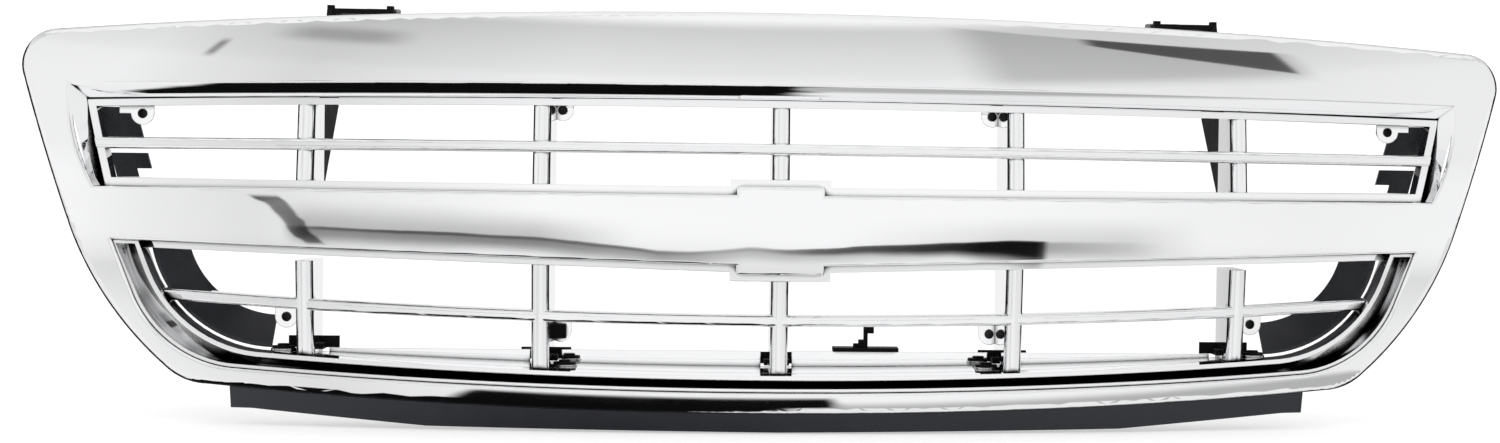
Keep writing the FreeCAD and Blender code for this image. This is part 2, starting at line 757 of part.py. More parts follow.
def upper_insert(shop):
    """Upper chrome grid: ceiling rail, middle bar, stepped floor rail, posts and screw tabs."""
    gap = "Sizes.fit_gap"
    ceiling = "(Sizes.bezel_inner_z-%s)" % gap
    floor = "(Sizes.upper_bottom_z+%s)" % gap
    stock = shop.crowned("upper_rail_stock", "Sizes.rail_front", "Sizes.rail_depth")
    roof = shop.bowed("upper_roof", [
        ("-Sizes.overshoot", "-Sizes.overshoot"),
        ("-Sizes.overshoot", ceiling),
        ("Sizes.rear_plane+Sizes.far_overshoot", ceiling),
        ("Sizes.rear_plane+Sizes.far_overshoot", "-Sizes.overshoot"),
    ], "Sizes.upper_tilt")
    under_roof = shop.bowed("upper_under_roof", [
        ("-2*Sizes.overshoot", "-2*Sizes.overshoot"),
        ("-2*Sizes.overshoot", ceiling + "-Sizes.rail"),
        ("Sizes.rear_plane+2*Sizes.far_overshoot", ceiling + "-Sizes.rail"),
        ("Sizes.rear_plane+2*Sizes.far_overshoot", "-2*Sizes.overshoot"),
    ], "Sizes.upper_tilt")
    frame = shop.prism("upper_frame", upper_trapezoid("-" + gap))
    wide, tall = "Sizes.side_start_x+Sizes.overshoot", "Sizes.stock_height+Sizes.overshoot"
    lowest = shop.prism("upper_floor_line", mirrored([(wide, tall), (wide, floor)]))
    step = shop.prism("upper_step", seat_step(gap))
    inner_step = shop.prism("upper_inner_step", seat_step(gap + "+Sizes.rail"))
    above_floor = shop.prism("upper_above_floor", mirrored([(wide, tall), (wide, floor + "+Sizes.rail")]))
    rails = shop.common("upper_rails_roofed", shop.common("upper_rails_stock", stock, frame), roof)
    rails = shop.common("upper_rails_low", rails, lowest)
    cells = shop.common("upper_cells", above_floor, under_roof)
    cells = shop.cut("upper_cells_stepped", cells, inner_step)
    cells = shop.common("upper_cells_ended", cells,
                        shop.prism("upper_stile_line", upper_trapezoid("-%s-Sizes.stile" % gap)))
    rails = shop.cut("upper_rails_open", rails, cells)
    rails = shop.cut("upper_rails", rails, step)
    bar_top = arch_radius("Sizes.bar_end_x", "Sizes.upper_bar_drop")
    bar_tip = "Sizes.bar_end_x+Sizes.bar_overrun"
    tip_top = "Sizes.upper_bar_z-Sizes.upper_bar_drop*((%s)/Sizes.bar_end_x)^2" % bar_tip
    bar_line = mirrored([(bar_tip, tip_top), (bar_tip, tip_top + "-Sizes.bar_height", bar_top, 1)],
                        (bar_top, -1))
    bar = shop.common("upper_bar_cut", shop.prism("upper_bar_line", bar_line),
                      shop.crowned("upper_bar_stock", "Sizes.bar_front", "Sizes.bar_depth"))
    bar = shop.rounded("upper_bar_round", bar, "Sizes.bar_round", long_edge_at(shop, "Sizes.bar_front"))
    bar = shop.common("upper_bar", bar, shop.prism("upper_bar_frame", upper_trapezoid("-" + gap)))
    posts = post_row(shop, "upper_post", "-Sizes.upper_post_tilt", floor + "+Sizes.overlap",
                     ceiling + "-Sizes.post_high_inset", floor)
    posts = shop.cut("upper_posts", posts, shop.prism("upper_post_seat", seat_step(gap + "+Sizes.overlap")))
    tabs = []
    holes = []
    for side in (-1, 1):
        word = "left" if side < 0 else "right"
        sign = "%d*" % side
        post_side = sign + "(Sizes.post_inner_x-Sizes.post_width/2+Sizes.overlap)"
        end_side = sign + "(Sizes.upper_tab_outer_x+Sizes.tab_width)"
        for place, root in (("inner", post_side), ("outer", end_side)):
            across = sign + "Sizes.upper_tab_%s_x" % place
            level = "Sizes.upper_tab_%s_z" % place
            name = "upper_%s_%s" % (place, word)
            tabs.append(screw_tab(shop, name + "_tab", across, level, root, level + "+Sizes.tab_stem"))
            holes.append(hole_tool(shop, name + "_hole", across, level))
    holes += bracket_screw_bores(shop, "upper_pilot", "Sizes.screw_bore")
    solid = shop.fuse("upper_grid", [rails, bar, posts] + tabs)
    insert = shop.cut("upper_insert_drilled", solid, shop.fuse("upper_holes", holes))
    insert.Label = "upper_insert"
    return insert


def lower_molding(shop):
    """Chrome molding between the lower opening and its grid: two beads and a hollow groove."""
    gap = "Sizes.fit_gap"
    band = shop.cut("molding_band", shop.prism("molding_outer", lower_outline("-" + gap)),
                    shop.prism("molding_inner", rim_outline("0")))
    stock = shop.crowned("molding_stock", "Sizes.rim_front", "Sizes.rim_depth")
    band = shop.common("molding_block", band, stock)
    roof = shop.prism("molding_roof", lower_top("-" + gap))
    band = shop.common("molding_roofed", band, roof)
    groove = shop.cut("groove_band", shop.prism("groove_outer", lower_outline("-%s-Sizes.outer_bead" % gap)),
                      shop.prism("groove_inner", rim_outline("Sizes.bead")))
    carved = shop.crowned("groove_stock", "-Sizes.overshoot", "Sizes.overshoot+Sizes.groove_depth")
    groove = shop.common("groove_cutter", groove, carved)
    molding = shop.cut("molding_grooved", band, groove)
    molding.Label = "lower_molding"
    return molding


def retainer_places():
    places = []
    for spot in ("outer", "inner"):
        for side in (-1, 1):
            word = "left" if side < 0 else "right"
            places.append((spot + "_" + word, "%d*Sizes.retainer_%s_x" % (side, spot),
                           "Sizes.retainer_%s_y" % spot, "Sizes.retainer_%s_z" % spot))
    return places


def retainer_bore(shop, name, across, back, level, radius):
    """Vertical bore through everything that one retainer holds together."""
    return shop.rod(name, (across, back, level + "-Sizes.bore_reach"), radius, "2*Sizes.bore_reach")


def lower_insert(shop):
    """Lower chrome grid: roof rail, curved bar, posts, floor with a rear lip and screw tabs."""
    gap = "Sizes.fit_gap"
    behind_molding = shop.common("lower_deep", shop.prism("lower_deep_line", rim_outline("Sizes.floor_wall")),
                                 shop.crowned("lower_deep_stock", "Sizes.floor_front", "2*Sizes.far_overshoot"))
    envelope = shop.fuse("lower_envelope", [shop.prism("lower_clear", rim_outline("-" + gap)), behind_molding])
    rail = shop.cut("lower_rail_band", shop.prism("lower_rail_high", lower_top("-" + gap)),
                    shop.prism("lower_rail_low", lower_top("-%s-Sizes.rail" % gap)))
    rail = shop.common("lower_rail", rail,
                       shop.crowned("lower_rail_stock", "Sizes.rail_front", "Sizes.rail_depth"))
    bar_arch = arch_radius("Sizes.bar_end_x", "Sizes.lower_bar_rise")
    bar_end = "Sizes.lower_bar_z+Sizes.lower_bar_rise"
    bar_line = mirrored([("Sizes.bar_end_x", bar_end),
                         ("Sizes.bar_end_x", bar_end + "-Sizes.bar_height", bar_arch, -1)], (bar_arch, 1))
    bar = shop.common("lower_bar_cut", shop.prism("lower_bar_line", bar_line),
                      shop.crowned("lower_bar_stock", "Sizes.lower_bar_front", "Sizes.bar_depth"))
    bar = shop.rounded("lower_bar_round", bar, "Sizes.bar_round", long_edge_at(shop, "Sizes.lower_bar_front"))
    posts = post_row(shop, "lower_post", "-Sizes.lower_post_tilt", "-Sizes.stock_height",
                     "Sizes.lower_mid_z-Sizes.post_low_inset", "Sizes.lower_mid_z")
    posts = shop.common("lower_posts_roofed", posts,
                        shop.prism("lower_posts_roof", lower_top("-%s-Sizes.overlap" % gap)))
    floor_line = shop.cut("floor_band", shop.prism("floor_outer", rim_outline("Sizes.floor_wall")),
                          shop.prism("floor_inner", rim_outline("0")))
    floor = shop.common("floor_bowed", floor_line,
                        shop.crowned("floor_stock", "Sizes.floor_front", "2*Sizes.far_overshoot"))
    half = "Sizes.floor_half"
    floor_limit = shop.box("floor_limit", ("-" + half, "0", "-Sizes.stock_height"),
                           (half, "Sizes.rear_plane", "Sizes.floor_high_z"))
    floor = shop.common("floor", floor, floor_limit)
    wall = shop.box("lip_wall", ("-Sizes.lip_half", "Sizes.rear_plane-Sizes.rear_wall", "-Sizes.stock_height"),
                    ("Sizes.lip_half", "Sizes.rear_plane", "Sizes.lip_top_z"))
    slots = [shop.box("lip_slot_%d" % number,
                      (place + "-Sizes.slot_half", "Sizes.post_front", "-Sizes.stock_height"),
                      (place + "+Sizes.slot_half", "Sizes.rear_plane+Sizes.slot_over", "0"))
             for number, place in enumerate(post_centres())]
    wall = shop.cut("lip_slotted", wall, shop.fuse("lip_slots", slots))
    pads = []
    bores = []
    for word, across, back, level in retainer_places():
        pads.append(shop.rod("pad_" + word, (across, back, level + "-Sizes.pad_height"), "Sizes.retainer_pad",
                             "Sizes.pad_height"))
        bores.append(retainer_bore(shop, "pad_bore_" + word, across, back, level, "Sizes.retainer_hole"))
    tabs = []
    for side in (-1, 1):
        word = "left" if side < 0 else "right"
        sign = "%d*" % side
        inner_root = sign + "(Sizes.post_inner_x-Sizes.post_width/2+Sizes.overlap)"
        outer_root = sign + "(Sizes.post_outer_x+Sizes.post_width/2-Sizes.overlap)"
        for place, root in (("inner", inner_root), ("outer", outer_root)):
            across = sign + "Sizes.lower_tab_%s_x" % place
            level = "Sizes.lower_tab_%s_z" % place
            name = "lower_%s_%s" % (place, word)
            tabs.append(screw_tab(shop, name + "_tab", across, level, root, level + "+Sizes.tab_width/2"))
            bores.append(hole_tool(shop, name + "_hole", across, level))
    solid = shop.fuse("lower_grid", [rail, bar, posts, floor, wall] + pads + tabs)
    solid = shop.common("lower_grid_trimmed", solid, envelope)
    insert = shop.cut("lower_insert_drilled", solid, shop.fuse("lower_holes", bores))
    insert.Label = "lower_insert"
    return insert


def post_centres():
    return ("-Sizes.post_outer_x", "-Sizes.post_inner_x", "0", "Sizes.post_inner_x", "Sizes.post_outer_x")


def upper_baffle(shop, side):
    """Dark end wall that slants inwards behind one end of the upper opening."""
    word = "left" if side < 0 else "right"
    sign = "%d*" % side
    front = (sign + "Sizes.upper_baffle_front_x", "Sizes.upper_baffle_front_y")
    rear = (sign + "Sizes.upper_baffle_rear_x", "Sizes.upper_baffle_rear_y")
    wall = "+Sizes.upper_baffle_wall"
    middle = "(Sizes.upper_baffle_low_z+Sizes.upper_baffle_high_z)/2"
    slab = shop.upright("upper_wall_" + word, [front, (front[0], front[1] + wall),
                                               (rear[0], rear[1] + wall), rear],
                        "-Sizes.overshoot", "Sizes.stock_height")
    pivot = Vector(shop.value(front[0]), 0, shop.value(middle))
    lean = Rotation(Vector(0, 1, 0), side * shop.value("Sizes.upper_baffle_lean"))
    slab.Placement = Placement(Vector(), lean, pivot)
    near, far = span(side, "0", "Sizes.side_start_x")
    window = shop.box("upper_wall_window_" + word,
                      (near, "Sizes.upper_baffle_front_y", "Sizes.upper_baffle_low_z"),
                      (far, "Sizes.upper_baffle_rear_y+Sizes.overshoot", "Sizes.upper_baffle_high_z"))
    wall_piece = shop.common("upper_wall_cut_" + word, slab, window)
    notches = []
    rear_edge = "Sizes.upper_baffle_rear_y"
    for place in ("mid", "foot"):
        notch = "Sizes.notch_%s_" % place
        notches.append(shop.box("upper_wall_notch_%s_%s" % (word, place),
                                (near, rear_edge + "-" + notch + "reach", notch + "low_z"),
                                (far, rear_edge + "+Sizes.overshoot", notch + "high_z")))
    baffle = shop.cut("upper_baffle_%s_cut" % word, wall_piece, shop.fuse("upper_wall_notches_" + word, notches))
    baffle.Label = "upper_baffle_" + word
    return baffle


def lower_baffle(shop, side):
    """Dark curved end wall that narrows rearwards behind one corner of the lower opening."""
    word = "left" if side < 0 else "right"
    cones = []
    for number, inset in enumerate(("0", "Sizes.baffle_wall")):
        cone = shop.doc.addObject("Part::Cone", "corner_cone_%s_%d" % (word, number))
        cone.setExpression("Radius1", "Sizes.lower_baffle_radius-" + inset)
        cone.setExpression("Radius2", "Sizes.lower_baffle_rear_radius-" + inset)
        cone.setExpression("Height", "Sizes.lower_baffle_length")
        cone.Placement = Placement(Vector(), Rotation(Vector(0, 0, 1), Vector(0, 1, 0)))
        cone.setExpression(".Placement.Base.x", "%d*Sizes.lower_baffle_x" % side)
        cone.setExpression(".Placement.Base.y", "Sizes.lower_baffle_front_y")
        cone.setExpression(".Placement.Base.z", "Sizes.lower_baffle_z")
        cones.append(cone)
    wall = shop.cut("corner_wall_" + word, cones[0], cones[1])
    near, far = span(side, "Sizes.floor_half+Sizes.baffle_wall", "Sizes.side_start_x")
    window = shop.box("corner_window_" + word, (near, "0", "-Sizes.stock_height"),
                      (far, "Sizes.rear_plane+Sizes.far_overshoot", "Sizes.lower_baffle_top_z"))
    baffle = shop.common("lower_baffle_%s_cut" % word, wall, window)
    baffle.Label = "lower_baffle_" + word
    return baffle


def bracket_hole(shop, name, side):
    """Clearance hole for the body screw, through the top lug and its spring nut."""
    foot = ("%d*Sizes.bracket_hole_x" % side, "Sizes.bracket_hole_y", "Sizes.bracket_top_z-Sizes.overshoot")
    return shop.rod(name, foot, "Sizes.bracket_hole/2", "2*Sizes.overshoot")


def upper_bracket(shop, side):
    """Black mounting bracket: flange on the post, gusset and top lug with a body screw hole."""
    word = "left" if side < 0 else "right"
    front = "Sizes.gusset_front_y"
    left, right = span(side, "Sizes.gusset_x", "Sizes.gusset_x+Sizes.gusset_wall")
    top = "Sizes.bracket_top_z"
    gusset = shop.side_plate("gusset_" + word, [
        (front, "Sizes.gusset_low_z"),
        (front + "+Sizes.gusset_toe", "Sizes.gusset_low_z"),
        ("Sizes.gusset_rear_y", "Sizes.gusset_knee_z"),
        ("Sizes.gusset_rear_y", top),
        ("Sizes.bracket_tab_front_y", top),
        (front, "Sizes.gusset_knee_z"),
    ], left, right)
    left, right = span(side, "Sizes.gusset_x", "Sizes.post_outer_x+Sizes.post_width/2")
    flange = shop.box("bracket_flange_" + word, (left, front, "Sizes.gusset_low_z"),
                      (right, front + "+Sizes.gusset_wall", "Sizes.gusset_knee_z-Sizes.flange_drop"))
    left, right = span(side, "Sizes.bracket_tab_inner_x", "Sizes.bracket_tab_outer_x")
    lug = shop.box("bracket_lug_" + word, (left, "Sizes.bracket_tab_front_y", top + "-Sizes.bracket_tab_wall"),
                   (right, "Sizes.gusset_rear_y", top))
    ends = []
    for place, first in (("inner", "Sizes.bracket_tab_inner_x"),
                         ("outer", "Sizes.bracket_tab_outer_x-Sizes.bracket_end_width")):
        left, right = span(side, first, first + "+Sizes.bracket_end_width")
        ends.append(shop.box("bracket_end_%s_%s" % (word, place), (left, "Sizes.bracket_tab_front_y", top),
                             (right, "Sizes.bracket_tab_front_y+Sizes.bracket_end_depth",
                              top + "+Sizes.bracket_end_rise")))
    solid = shop.fuse("bracket_solid_" + word, [gusset, flange, lug] + ends)
    hole = bracket_hole(shop, "bracket_hole_" + word, side)
    bores = bracket_screw_bores(shop, "bracket_bore_" + word, "Sizes.screw_bore")
    bracket = shop.cut("bracket_%s_drilled" % word, solid, shop.fuse("bracket_tools_" + word, [hole] + bores))
    bracket.Label = "upper_bracket_" + word
    return bracket


def bracket_screws(shop):
    back = "Sizes.gusset_front_y+Sizes.gusset_wall"
    screws = [pan_screw(shop, "bracket_screw_" + word, (across, back, level), "Sizes.bracket_screw_length",
                        Vector(0, -1, 0))
              for word, across, level in bracket_screw_places()]
    return group(shop, "bracket_screws", screws)


def bracket_nuts(shop):
    """Spring nuts that wrap the inner end of each top lug around its hole."""
    nuts = []
    top = "Sizes.bracket_top_z+Sizes.nut_leaf"
    lug_top = "Sizes.bracket_top_z"
    lug_low = "Sizes.bracket_top_z-Sizes.bracket_tab_wall"
    low = lug_low + "-Sizes.nut_leaf"
    edge = "Sizes.bracket_tab_inner_x"
    bend = edge + "-Sizes.nut_bend"
    front, back = "Sizes.bracket_hole_y-Sizes.nut_half", "Sizes.bracket_hole_y+Sizes.nut_half"
    for side, word in ((-1, "left"), (1, "right")):
        left, right = span(side, bend, "Sizes.bracket_hole_x+Sizes.nut_half")
        leaves = [shop.box("nut_top_" + word, (left, front, lug_top), (right, back, top)),
                  shop.box("nut_low_" + word, (left, front, low), (right, back, lug_low))]
        left, right = span(side, bend, edge)
        leaves.append(shop.box("nut_bend_" + word, (left, front, low), (right, back, top)))
        foot = ("%d*Sizes.bracket_hole_x" % side, "Sizes.bracket_hole_y", lug_low + "-Sizes.nut_barrel_drop")
        leaves.append(shop.rod("nut_barrel_" + word, foot, "Sizes.nut_barrel", "Sizes.nut_barrel_height"))
        hole = bracket_hole(shop, "nut_hole_" + word, side)
        nuts.append(shop.cut("nut_" + word, shop.fuse("nut_solid_" + word, leaves), hole))
    return group(shop, "bracket_nuts", nuts)


def strip_top():
    """Upper edge of the black strip, just under the bottom edge of the shell, from right to left."""
    end = "Sizes.strip_half"
    sill = arch_radius("Sizes.foot_end_x", "Sizes.foot_end_z-Sizes.bottom_z")
    level = "Sizes.bottom_z+%s^2/(2*(%s))-Sizes.rail_gap" % (end, sill)
    return [(end, level, sill, -1), ("-" + end, level)]


def strip_face():
    """Front of the hanging blade, with its bent lower edge."""
    lower = [
        ("-Sizes.strip_half", "Sizes.strip_end_z"),
        ("-Sizes.strip_end_x", "Sizes.strip_end_z"),
        ("-Sizes.strip_bend_x", "Sizes.strip_bend_z"),
        ("0", "Sizes.strip_low_z"),
        ("Sizes.strip_bend_x", "Sizes.strip_bend_z"),
        ("Sizes.strip_end_x", "Sizes.strip_end_z"),
        ("Sizes.strip_half", "Sizes.strip_end_z"),
    ]
    return strip_top() + lower


def strip_band():
    """Thin band that follows the upper edge of the strip."""
    (end, level, sill, _), _ = strip_top()
    low = level + "-Sizes.strip_wall"
    return strip_top() + [("-" + end, low, sill, 1), (end, low)]


def strip_screw_places():
    """Six screws along the bottom flange of the shell, each at its own height on the bowed edge."""
    places = []
    sill = arch_radius("Sizes.foot_end_x", "Sizes.foot_end_z-Sizes.bottom_z")
    for number in (-3, -2, -1, 1, 2, 3):
        across = "%d*Sizes.strip_screw_step-%d*Sizes.strip_screw_step/2" % (number, 1 if number > 0 else -1)
        level = "Sizes.bottom_z+(%s)^2/(2*(%s))" % (across, sill)
        bow = "Sizes.bow_radius-sqrt(Sizes.bow_radius^2-(%s)^2)" % across
        back = bow + "+Sizes.strip_flange+Sizes.strip_screw_inset"
        word = "%s_%d" % ("left" if number < 0 else "right", abs(number))
        places.append((word, across, back, level + "-Sizes.rail_gap-Sizes.strip_wall"))
    return places


def strip_screw_bores(shop, name):
    """Bores of the strip screws through the flange of the strip and into the shell."""
    return [shop.rod(name + word, (across, back, level + "-Sizes.strip_bore_over"), "Sizes.screw_bore",
                     "Sizes.strip_screw_bore")
            for word, across, back, level in strip_screw_places()]


def lower_deflector(shop):
    """Black strip under the shell: a hanging blade and a flange screwed to the shell."""
    blade = shop.common("strip_blade", shop.prism("strip_front_face", strip_face()),
                        shop.crowned("strip_blade_stock", "Sizes.strip_front", "Sizes.strip_wall"))
    flange = shop.common("strip_flange", shop.prism("strip_flange_band", strip_band()),
                         shop.crowned("strip_flange_stock", "Sizes.strip_front", "Sizes.strip_flange"))
    bores = strip_screw_bores(shop, "strip_bore_")
    strip = shop.cut("strip_drilled", shop.fuse("strip_solid", [blade, flange]), shop.fuse("strip_bores", bores))
    strip.Label = "lower_deflector"
    return strip


def deflector_screws(shop):
    screws = [pan_screw(shop, "strip_screw_" + word, (across, back, level + "-Sizes.strip_head_gap"),
                        "Sizes.strip_screw_length", Vector(0, 0, 1))
              for word, across, back, level in strip_screw_places()]
    return group(shop, "deflector_screws", screws)


def support_rail(shop):
    """Black rail clamped under the floor of the lower grid."""
    lower = "Sizes.floor_wall+Sizes.rail_gap"
    band = shop.cut("support_band", shop.prism("support_outer", rim_outline(lower + "+Sizes.floor_wall")),
                    shop.prism("support_inner", rim_outline(lower)))
    stock = shop.crowned("support_stock", "Sizes.floor_front+Sizes.rail_front_inset", "2*Sizes.far_overshoot")
    bowed = shop.common("support_bowed", band, stock)
    limit = shop.box("support_limit", ("-Sizes.floor_half", "0", "-Sizes.stock_height"),
                     ("Sizes.floor_half", "Sizes.rail_rear_y", "Sizes.floor_high_z"))
    bores = [retainer_bore(shop, "rail_bore_" + word, across, back, level, "Sizes.retainer_hole")
             for word, across, back, level in retainer_places()]
    rail = shop.cut("support_drilled", shop.common("support_solid", bowed, limit),
                    shop.fuse("support_bores", bores))
    rail.Label = "support_rail"
    return rail


def post_saddles(shop):
    """Black saddles that grip the web of each lower post from behind."""
    saddles = []
    for number, centre in enumerate(post_centres()):
        climb = "(Sizes.rim_foot_z-Sizes.rim_bottom_z)*((%s)/Sizes.rim_foot_x)^2" % centre
        low = "Sizes.saddle_low_z+%s+Sizes.saddle_gap*abs(%s)/Sizes.post_outer_x" % (climb, centre)
        high = low + "+Sizes.saddle_high_z-Sizes.saddle_low_z"
        foot = low + "+Sizes.saddle_foot_z-Sizes.saddle_low_z"
        back = "Sizes.rear_plane+Sizes.rail_gap"
        plate = shop.box("saddle_plate_%d" % number, (centre + "-Sizes.saddle_half", back, low),
                         (centre + "+Sizes.saddle_half", back + "+Sizes.saddle_wall", high))
        inner = "Sizes.post_width/2+Sizes.saddle_gap"
        feet = []
        for side, word in (("-", "left"), ("+", "right")):
            near = "%s%s(%s)" % (centre, side, inner)
            far = "%s%s(%s+Sizes.saddle_wall)" % (centre, side, inner)
            left, right = (near, far) if side == "+" else (far, near)
            feet.append(shop.box("saddle_foot_%s_%d" % (word, number), (left, "Sizes.saddle_foot_y", low),
                                 (right, back + "+Sizes.saddle_wall", foot)))
        saddles.append(shop.fuse("saddle_%d" % number, [plate] + feet))
    return group(shop, "post_saddles", saddles)


def hook_clip(shop):
    """Black clip that stands on the rear lip, right of the middle."""
    level = "Sizes.lip_top_z+Sizes.rail_gap"
    front, back = "Sizes.rear_plane-Sizes.hook_front", "Sizes.rear_plane+Sizes.hook_rear"
    left, top = "Sizes.hook_stem_x", level + "+Sizes.hook_stem_height"
    plate = shop.box("hook_plate",
                     ("Sizes.hook_plate_left", "Sizes.rear_plane-Sizes.hook_plate_front", level),
                     ("Sizes.hook_plate_right", "Sizes.rear_plane+Sizes.hook_plate_rear",
                      level + "+Sizes.saddle_wall"))
    stem = shop.box("hook_stem", (left, front, level), (left + "+Sizes.hook_stem_width", back, top))
    head = shop.box("hook_head", (left, front, top + "-Sizes.hook_head_height"),
                    (left + "+Sizes.hook_head_width", back, top))
    steps = []
    for number in (1, 2):
        height = "+Sizes.saddle_wall+Sizes.hook_step_height*(Sizes.hook_steps+1-%d)" % number
        steps.append(shop.box("hook_step_%d" % number,
                              (left + "-%d*Sizes.hook_step_width" % number, front, level),
                              (left, back, level + height)))
    clip = shop.fuse("hook_clip_solid", [plate, stem, head] + steps)
    clip.Label = "hook_clip"
    return clip


def tab_clip(shop):
    """Black push-in clip in the left inner tab of the lower grid."""
    across, level = "-Sizes.lower_tab_inner_x", "Sizes.lower_tab_inner_z"
    face = "Sizes.rear_plane-Sizes.boss_step-Sizes.tab_thickness"
    half = "Sizes.clip_width/2"
    rise = "Sizes.clip_rise/2"
    head = shop.box("clip_head", (across + "-" + half, face + "-Sizes.clip_height", level + "-" + rise),
                    (across + "+" + half, face, level + "+" + rise))
    shank = shop.rod("clip_shank", (across, face + "-Sizes.overlap", level), "Sizes.clip_shank",
                     "Sizes.clip_shank_length", Vector(0, 1, 0))
    clip = shop.fuse("tab_clip_solid", [head, shank])
    clip.Label = "tab_clip"
    return clip


def retainer(shop, word, across, back, level):
    """Push-in retainer: a grommet through floor and rail and a centre pin that lifts to release it."""
    head = shop.rod("grommet_head_" + word, (across, back, level), "Sizes.retainer_head",
                    "Sizes.retainer_head_height")
    shank = shop.rod("grommet_shank_" + word, (across, back, level + "-Sizes.retainer_length"),
                     "Sizes.retainer_shank", "Sizes.retainer_length+Sizes.overlap")
    bore = retainer_bore(shop, "grommet_bore_" + word, across, back, level, "Sizes.pin_bore")
    grommet = shop.cut("grommet_" + word, shop.fuse("grommet_solid_" + word, [head, shank]), bore)
    seat = level + "+Sizes.retainer_head_height"
    cap = shop.rod("pin_cap_" + word, (across, back, seat), "Sizes.pin_head", "Sizes.pin_head_height")
    rod = shop.rod("pin_rod_" + word, (across, back, level + "-Sizes.retainer_length"), "Sizes.pin_radius",
                   "Sizes.retainer_length+Sizes.retainer_head_height+Sizes.overlap")
    pin = shop.fuse("pin_" + word, [cap, rod])
    pin.Label = "retainer_pin_" + word
    return grommet, pin


def main():
    shop = Workshop()
    nodes = [front_shell(shop), upper_insert(shop), lower_molding(shop), lower_insert(shop)]
    for side in (-1, 1):
        nodes += [upper_baffle(shop, side), lower_baffle(shop, side), upper_bracket(shop, side)]
    nodes += [bracket_screws(shop), bracket_nuts(shop), lower_deflector(shop), deflector_screws(shop)]
    nodes += [support_rail(shop), post_saddles(shop), hook_clip(shop), tab_clip(shop)]
    grommets = []
    for place in retainer_places():
        grommet, pin = retainer(shop, *place)
        grommets.append(grommet)
        nodes.append(pin)
    nodes.append(group(shop, "retainer_grommets", grommets))
    shop.doc.recompute()
    for item in shop.doc.Objects:
        if "Invalid" in item.State or "Error" in item.State:
            raise RuntimeError("%s is %s" % (item.Name, item.State))
    os.makedirs("parts", exist_ok=True)
    for node in nodes:
        if node.Shape.isNull() or not node.Shape.isValid():
            raise RuntimeError(node.Label + " has no valid shape")
        node.Shape.exportStep("parts/%s.step" % node.Label)


main()
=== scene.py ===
import json
import math

import bpy
from mathutils import Matrix, Vector


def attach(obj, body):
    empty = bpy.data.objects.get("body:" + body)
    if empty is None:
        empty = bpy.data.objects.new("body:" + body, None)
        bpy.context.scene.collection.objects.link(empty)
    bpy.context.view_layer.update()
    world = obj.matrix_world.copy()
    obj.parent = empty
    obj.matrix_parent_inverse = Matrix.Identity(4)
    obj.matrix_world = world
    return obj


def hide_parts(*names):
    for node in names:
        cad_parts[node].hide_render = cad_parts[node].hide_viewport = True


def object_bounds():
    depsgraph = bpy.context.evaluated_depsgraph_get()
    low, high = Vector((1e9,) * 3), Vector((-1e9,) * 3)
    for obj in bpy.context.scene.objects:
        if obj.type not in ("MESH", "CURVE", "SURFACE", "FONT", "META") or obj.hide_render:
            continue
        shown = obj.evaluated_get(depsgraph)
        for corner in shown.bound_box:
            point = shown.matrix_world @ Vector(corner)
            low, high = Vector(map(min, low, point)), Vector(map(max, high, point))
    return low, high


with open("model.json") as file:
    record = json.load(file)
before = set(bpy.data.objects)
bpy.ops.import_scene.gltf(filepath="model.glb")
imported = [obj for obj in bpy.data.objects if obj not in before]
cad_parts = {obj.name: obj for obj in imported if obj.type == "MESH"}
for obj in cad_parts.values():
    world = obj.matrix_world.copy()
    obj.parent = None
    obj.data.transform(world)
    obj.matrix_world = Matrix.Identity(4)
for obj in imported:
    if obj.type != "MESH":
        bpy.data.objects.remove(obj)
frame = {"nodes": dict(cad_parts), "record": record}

CAD_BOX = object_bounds()
PLATED = "chrome_plate"


